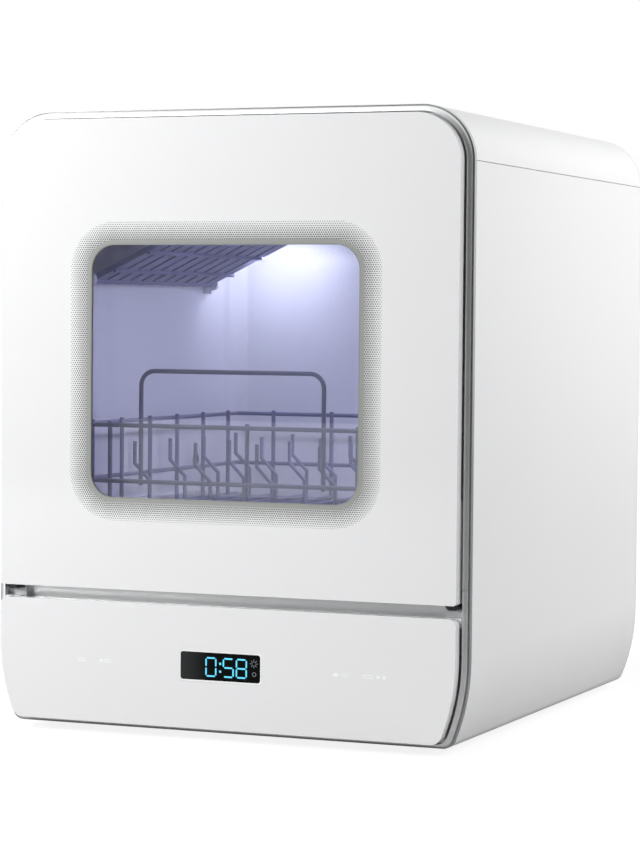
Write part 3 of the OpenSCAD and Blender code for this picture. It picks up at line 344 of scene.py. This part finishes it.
# Silicone is matte and slightly dusty; the black rubber of the feet and hoses hardly shines.
mid_rubber = plastic("silicone_rubber_grey", "#8B8D90", "#93959A", 0.6, 0.6, 0.01)
seal_grey = plastic("silicone_rubber_seal", "#A2A4A2", "#A8AAA8", 0.5, 0.6, 0.008)
foot_rubber = plastic("moulded_rubber_black", "#141414", "#1D1D1D", 0.75, 0.8, 0.03)
hose_rubber = plastic("extruded_rubber_hose", "#4A4D50", "#55585B", 0.7, 1.2, 0.03)
# The boards' green solder mask is glossy over the weave of the glass cloth.
board_green = plastic("solder_masked_epoxy_glass", "#1F5136", "#2A6144", 0.35, 1.1, 0.02, 12.0)
# Zinc plating is even and slightly cloudy; ground pins and brushed sheet streak along their lines.
plate_steel = metal("pressed_zinc_plated_steel", "#B4B7BA", "#C6C9CC", 0.35, 0.6, 0.006)
pin_steel = metal("ground_stainless_steel", "#C2C4C6", "#D0D2D3", 0.25, 0.4, 0.004, (0.05, 1, 1))
filter_steel = metal("brushed_stainless_sheet", "#B9BBBD", "#CDCFD1", 0.3, 0.5, 0.006, (0.06, 1, 1))
# The outer pane's print covers its seal. The inner pane has none: its print would start past its edge.
outer_glass = clear_glass("float_glass_outer", "#F9FBFB", WINDOW_HALF)
inner_glass = clear_glass("float_glass_inner", "#F9FBFB", PAST_INNER_PANE)
smoked_acrylic = display_glass("smoked_acrylic_display")
# The lamp's milky lens glows a cool violet white, the digits cyan, and the signs barely at all.
lamp_glow = glowing("lit_polycarbonate_lens", "#E0DEFF", 125.0, "#DAD8FF")
digit_glow = glowing("lit_display_digits", "#4FB4D0", 0.8, "#58BEDA")
sign_dim = glowing("unlit_display_signs", "#6A6E72", 0.25, "#757A7E")


# Dressed nodes

# Each node's finish, and the radius in mm that rounds its sharp edges. A radius of 0 only makes
# its curves smooth, and a node with None keeps its own mesh.
DRESS = {
    "top_cover": (casing_white, 0.35), "side_panel_left": (casing_white, 0.35),
    "side_panel_right": (casing_white, 0.35), "base_tray": (dark_part, None),
    "back_panel": (back_white, 0.4), "back_screws": (plate_steel, 0.25), "rubber_feet": (foot_rubber, 0.8),
    "upper_frame": (silver_ring, 0.3), "lower_frame": (silver_ring, 0.3), "casing_trim": (silver_trim, 0.15),
    "hinge_brackets": (silver_bracket_painted_light, 0.3), "hinge_pins": (pin_steel, 0.2), "tub": (tub_white, 0.0),
    "tub_gasket": (mid_rubber, 0.6), "control_fascia": (panel_white, 0.7), "display_bezel": (display_rim, 0.25),
    "display_window": (smoked_acrylic, 0.15), "display_board": (board_green, None),
    "touch_sensors": (board_green, None), "power_board": (board_green, None), "sump": (part_white, 0.0),
    "wash_pump": (dark_part, None), "drain_pump": (dark_part, None), "water_heater": (plate_steel, None),
    "inlet_valve": (part_white, None), "internal_hoses": (hose_rubber, 0.0),
    "inlet_connector": (part_white, 0.3), "drain_connector": (part_white, 0.3),
    "cord_gland": (dark_part, 0.5), "fan_housing": (part_white, None), "fan_motor": (dark_part, None),
    "fan_wheel": (part_white, None), "interior_lamp": (lamp_glow, 0.6), "filter_plate": (filter_steel, 0.0),
    "filter_cup": (shelf_grey, 0.3), "spray_hub": (part_white, 0.4), "spray_arm": (shelf_grey, 0.5),
    "float_switch": (dark_part, None), "water_float": (part_white, 0.5), "rack_rails": (tub_white, 0.3),
    "lock_housing": (dark_part, None), "door_front": (door_white, 0.7), "window_glass": (outer_glass, 0.0),
    "window_seal": (seal_grey, 0.0), "door_liner": (tub_white, 0.5), "inner_glass": (inner_glass, 0.0),
    "hinge_arms": (plate_steel, 0.25), "hinge_knuckles": (black_part, 0.3), "hinge_covers": (rim_white, 0.5),
    "door_strike": (plate_steel, 0.25), "detergent_lid": (part_white, 0.3), "rack_floor": (wire_coat, 0.0),
    "front_fence": (wire_coat, 0.0), "back_fence": (wire_coat, 0.0), "left_fence": (wire_coat, 0.0),
    "right_fence": (wire_coat, 0.0), "plate_tines": (wire_coat, 0.0), "rack_glides": (part_white, 0.4),
    "shelf_brackets": (tub_white, 0.5), "upper_shelf": (shelf_grey, 0.5),
}
BODY_OF = {node: body for body, nodes in frame["record"]["behaviour"]["bodies"].items() for node in nodes}

# How a CAD mesh is cleaned: the gap in metres that is closed, and the angles in degrees past which
# faces stay apart, an edge stays sharp and an edge is rounded.
MERGE_GAP = 2e-6
FLAT_ANGLE, SHARP_ANGLE, ROUND_ANGLE = 0.4, 32, 40


def set_finish(piece, finish):
    """One finish all over a piece."""
    piece.data.materials.clear()
    piece.data.materials.append(finish)


def new_piece(name, bm, finish, body):
    """A finished bmesh as a piece that rides on a body."""
    mesh = bpy.data.meshes.new(name)
    bm.to_mesh(mesh)
    bm.free()
    piece = bpy.data.objects.new(name, mesh)
    bpy.context.scene.collection.objects.link(piece)
    set_finish(piece, finish)
    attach(piece, body)
    return piece


def softened(node, finish, radius):
    """A merged copy of a CAD node, smooth over its curves and rounded along its sharp edges."""
    bm = bmesh.new()
    bm.from_mesh(frame["nodes"][node].data)
    bmesh.ops.remove_doubles(bm, verts=bm.verts, dist=MERGE_GAP)
    bmesh.ops.dissolve_limit(bm, angle_limit=math.radians(FLAT_ANGLE), verts=bm.verts, edges=bm.edges,
                             use_dissolve_boundaries=False)
    piece = new_piece("soft_" + node, bm, finish, BODY_OF[node])
    mesh = piece.data
    for name in [a.name for a in mesh.attributes if a.name in ("custom_normal", "sharp_face")]:
        mesh.attributes.remove(mesh.attributes[name])
    mesh.polygons.foreach_set("use_smooth", [True] * len(mesh.polygons))
    mesh.set_sharp_from_angle(angle=math.radians(SHARP_ANGLE))
    if radius:
        edge = piece.modifiers.new("rounded_edges", "BEVEL")
        edge.width = radius * MM
        edge.segments = 3
        edge.limit_method = "ANGLE"
        edge.angle_limit = math.radians(ROUND_ANGLE)
        edge.harden_normals = True
        edge.use_clamp_overlap = True
    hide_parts(node)
    return piece


pieces = {}
for node_name, (finish, radius) in DRESS.items():
    if radius is None:
        set_finish(frame["nodes"][node_name], finish)
    else:
        pieces[node_name] = softened(node_name, finish, radius)

# The seal's lip is pressed back behind the print, so that it doesn't show inside the window.
SEAL_STRETCH = (1.0145, 1.0, 1.0162)
seal = bmesh.new()
seal.from_mesh(pieces["window_seal"].data)
bmesh.ops.scale(seal, verts=seal.verts, vec=SEAL_STRETCH,
                space=Matrix.Translation((0, 0, -WINDOW_MID[1] * MM)))
seal.to_mesh(pieces["window_seal"].data)
seal.free()


# Display: its digits and signs are thin films on the smoked acrylic. All sizes are in mm.

DISPLAY_DEPTH, FILM = 0.08, 0.12
DIGIT_LOW, DIGIT_WIDE, DIGIT_HIGH = 48.0, 9.0, 14.5
BAR_WIDE, BAR_GAP = 1.15, 0.42
DIGITS = (("0", -12.0), ("5", 2.0), ("8", 12.5))
SEGMENTS = {"0": "abcdef", "5": "acdfg", "8": "abcdefg"}
COLON_HEIGHTS, COLON_HALF = (52.2, 58.0), 0.8
SUN_AT, SUN_RAYS, RAY_START, RAY_END, RAY_HALF = (27.0, 59.4), 8, 1.2, 3.2, 0.22
RING_AT, RING_RADIUS, RING_WIDEN = (27.3, 51.6), 1.2, 1.4


def only(kind, geometry):
    """The vertices, edges or faces among what a bmesh operator returns."""
    return [part for part in geometry if isinstance(part, kind)]


def thicken(bm, faces):
    """Flat faces in the XZ plane as a closed film."""
    back = bmesh.ops.extrude_face_region(bm, geom=faces)
    bmesh.ops.translate(bm, verts=only(bmesh.types.BMVert, back["geom"]), vec=(0, FILM * MM, 0))


def film(bm, corners):
    """A thin flat film from corners in mm, in the XZ plane."""
    points = [bm.verts.new((x * MM, behind(DISPLAY_DEPTH), z * MM)) for x, z in corners]
    thicken(bm, [bm.faces.new(points)])


def digit(bm, sign, x0):
    """One seven-segment digit; its bars have pointed ends with a small gap between them."""
    half = BAR_WIDE / 2
    left, right = x0 + half, x0 + DIGIT_WIDE - half
    low, high = DIGIT_LOW + half, DIGIT_LOW + DIGIT_HIGH - half
    middle = (low + high) / 2
    bars = {"a": (left, high, right, high), "g": (left, middle, right, middle), "d": (left, low, right, low),
            "f": (left, middle, left, high), "b": (right, middle, right, high),
            "e": (left, low, left, middle), "c": (right, low, right, middle)}
    for key in SEGMENTS[sign]:
        xa, za, xb, zb = bars[key]
        if za == zb:
            xa, xb = xa + BAR_GAP, xb - BAR_GAP
            corners = [(xa, za), (xa + half, za + half), (xb - half, za + half), (xb, za),
                       (xb - half, za - half), (xa + half, za - half)]
        else:
            za, zb = za + BAR_GAP, zb - BAR_GAP
            corners = [(xa, za), (xa - half, za + half), (xa - half, zb - half), (xa, zb),
                       (xa + half, zb - half), (xa + half, za + half)]
        film(bm, corners)


bm = bmesh.new()
for sign, x in DIGITS:
    digit(bm, sign, x)
for z in COLON_HEIGHTS:
    film(bm, [(-COLON_HALF, z - COLON_HALF), (COLON_HALF, z - COLON_HALF),
              (COLON_HALF, z + COLON_HALF), (-COLON_HALF, z + COLON_HALF)])
bmesh.ops.recalc_face_normals(bm, faces=bm.faces)
new_piece("display_digits", bm, digit_glow, "cabinet")

bm = bmesh.new()
for i in range(SUN_RAYS):
    turn = math.radians(360 / SUN_RAYS * i)
    axis, side = Vector((math.cos(turn), math.sin(turn))), Vector((-math.sin(turn), math.cos(turn)))
    near, far = Vector(SUN_AT) + axis * RAY_START, Vector(SUN_AT) + axis * RAY_END
    film(bm, [tuple(near - side * RAY_HALF), tuple(far - side * RAY_HALF),
              tuple(far + side * RAY_HALF), tuple(near + side * RAY_HALF)])
inner = bmesh.ops.create_circle(bm, cap_ends=False, segments=24, radius=RING_RADIUS * MM)["verts"]
wide = bmesh.ops.extrude_edge_only(bm, edges=list({e for v in inner for e in v.link_edges}))["geom"]
outer = only(bmesh.types.BMVert, wide)
bmesh.ops.scale(bm, verts=outer, vec=(RING_WIDEN, RING_WIDEN, 1.0))
bmesh.ops.rotate(bm, verts=inner + outer, matrix=Matrix.Rotation(math.radians(90), 3, "X"))
bmesh.ops.translate(bm, verts=inner + outer, vec=(RING_AT[0] * MM, behind(DISPLAY_DEPTH), RING_AT[1] * MM))
thicken(bm, only(bmesh.types.BMFace, wide))
bmesh.ops.recalc_face_normals(bm, faces=bm.faces)
new_piece("display_signs", bm, sign_dim, "cabinet")


# Studio


def studio_surface(name, code, seen_code, glow):
    """Matte paper: the lens sees it as the white background, with the object's faint shadow on it.
    Its glow rises with the distance, where less lamp light falls, so that no horizon shows."""
    finish = bpy.data.materials.new(name)
    finish.use_nodes = True
    tree = finish.node_tree
    tree.nodes.clear()
    paper = add(tree, "ShaderNodeBsdfDiffuse", {"Color": linear(code)})
    dim = add(tree, "ShaderNodeBsdfDiffuse", {"Color": linear(seen_code)})
    place = add(tree, "ShaderNodeTexCoord").outputs["Object"]
    reach = add(tree, "ShaderNodeVectorMath", {0: place}, operation="LENGTH").outputs["Value"]
    level = add(tree, "ShaderNodeMapRange", {"Value": reach, "From Min": 0.5, "From Max": 2.4,
                                             "To Min": glow, "To Max": 1.0}).outputs[0]
    light = add(tree, "ShaderNodeEmission", {"Color": linear("#FFFFFF"), "Strength": level})
    seen = add(tree, "ShaderNodeAddShader", {0: dim.outputs[0], 1: light.outputs[0]})
    rays = add(tree, "ShaderNodeLightPath").outputs
    direct = add(tree, "ShaderNodeMath", {0: rays["Is Camera Ray"], 1: rays["Is Transmission Ray"]},
                 operation="MAXIMUM")
    mix = add(tree, "ShaderNodeMixShader", {0: direct.outputs[0], 1: paper.outputs[0], 2: seen.outputs[0]})
    add(tree, "ShaderNodeOutputMaterial", {"Surface": mix.outputs[0]})
    return finish


bm = bmesh.new()
bmesh.ops.create_grid(bm, x_segments=1, y_segments=1, size=6.0)
floor_mesh = bpy.data.meshes.new("studio_floor")
bm.to_mesh(floor_mesh)
bm.free()
floor = bpy.data.objects.new("studio_floor", floor_mesh)
bpy.context.scene.collection.objects.link(floor)
set_finish(floor, studio_surface("matte_paper_floor", "#A8A8A8", "#7C7C7C", 0.86))

ROOM_LIGHT = 0.127
DARK_SIDE, DARK_LEVEL = (0.5, -0.85, -0.3), 0.11
LOW_LEVEL = 0.72


def studio_air():
    """The room: dim for diffuse light, white behind the object, and mirrored as white all round,
    a little darker low down, except towards the lens and its right, where the dark studio leaves
    the ring's right side dark."""
    world = bpy.data.worlds.new("studio_air")
    world.use_nodes = True
    bpy.context.scene.world = world
    tree = world.node_tree
    tree.nodes.clear()
    rays = add(tree, "ShaderNodeLightPath").outputs
    through = add(tree, "ShaderNodeMath", {0: rays["Is Glossy Ray"], 1: rays["Is Transmission Ray"]},
                  operation="MAXIMUM").outputs[0]
    way = add(tree, "ShaderNodeTexCoord").outputs["Generated"]
    facing = add(tree, "ShaderNodeVectorMath", {0: way, 1: DARK_SIDE}, operation="DOT_PRODUCT")
    level = add(tree, "ShaderNodeMapRange", {"Value": facing.outputs["Value"], "From Min": 0.0, "From Max": 0.8,
                                             "To Min": 1.0, "To Max": DARK_LEVEL},
                interpolation_type="SMOOTHSTEP").outputs[0]
    height = add(tree, "ShaderNodeSeparateXYZ", {0: way}).outputs[2]
    lower = add(tree, "ShaderNodeMapRange", {"Value": height, "From Min": 0.05, "From Max": 0.45,
                                             "To Min": LOW_LEVEL, "To Max": 1.0}).outputs[0]
    level = add(tree, "ShaderNodeMath", {0: level, 1: lower}, operation="MULTIPLY").outputs[0]
    soft = add(tree, "ShaderNodeBackground", {"Color": linear("#F4F6F8"), "Strength": ROOM_LIGHT}).outputs[0]
    mirrored = add(tree, "ShaderNodeBackground", {"Color": linear("#FFFFFF"), "Strength": level}).outputs[0]
    white = add(tree, "ShaderNodeBackground", {"Color": linear("#FFFFFF"), "Strength": 1.0}).outputs[0]
    mix = add(tree, "ShaderNodeMixShader", {0: through, 1: soft, 2: mirrored}).outputs[0]
    mix = add(tree, "ShaderNodeMixShader", {0: rays["Is Camera Ray"], 1: mix, 2: white}).outputs[0]
    add(tree, "ShaderNodeOutputWorld", {"Surface": mix})


studio_air()


def softbox(name, place, target, side, watts, code="#FFFFFF"):
    """A square area lamp that points at a place."""
    lamp = bpy.data.lights.new(name, "AREA")
    lamp.shape = "SQUARE"
    lamp.size = side
    lamp.energy = watts
    lamp.color = linear(code)[:3]
    holder = bpy.data.objects.new(name, lamp)
    holder.location = place
    holder.rotation_euler = (Vector(target) - Vector(place)).to_track_quat("-Z", "Y").to_euler()
    bpy.context.scene.collection.objects.link(holder)
    return holder


# The key on the left fades the white front towards the right; the other lights the side from behind.
softbox("key_softbox", (-2.06, -1.86, 1.42), (0, -0.15, 0.28), 2.0, 126)
softbox("side_softbox", (1.33, 0.5, 0.91), (0.1, 0, 0.3), 1.2, 22)
# The tub's own lamp washes its back wall from above; only its light is seen.
wash = softbox("tub_wash", (-0.1, behind(315), 0.376), (-0.125, behind(374), 0.34), 0.045, 0.1, "#E4E5FF")
wash.visible_camera = wash.visible_transmission = False

# The camera of the photograph, fitted to the edges of the front: its place across, behind the door
# glass and above the panel's lower edge in mm, its turns in degrees, and its lens in mm.
CAMERA_PLACE = (850.73, -1868.31, 303.86)
CAMERA_LEFT, CAMERA_DOWN, CAMERA_ROLL = 22.479, 2.228, 0.512
CAMERA_LENS = 118.43


def photo_camera():
    """The fitted camera, as the scene's camera."""
    data = bpy.data.cameras.new("photo_camera")
    data.lens = CAMERA_LENS
    data.sensor_width = 36.0
    data.sensor_fit = "AUTO"
    data.clip_start, data.clip_end = 0.1, 30.0
    holder = bpy.data.objects.new("photo_camera", data)
    turn = (Matrix.Rotation(math.radians(CAMERA_LEFT), 4, "Z")
            @ Matrix.Rotation(math.radians(90 - CAMERA_DOWN), 4, "X")
            @ Matrix.Rotation(math.radians(CAMERA_ROLL), 4, "Z"))
    across, back, up = CAMERA_PLACE
    place = Vector((across * MM, behind(back), (up + PANEL_LOW) * MM))
    holder.matrix_world = Matrix.Translation(place) @ turn
    bpy.context.scene.collection.objects.link(holder)
    bpy.context.scene.camera = holder


photo_camera()
bpy.context.scene.view_settings.view_transform = "Standard"
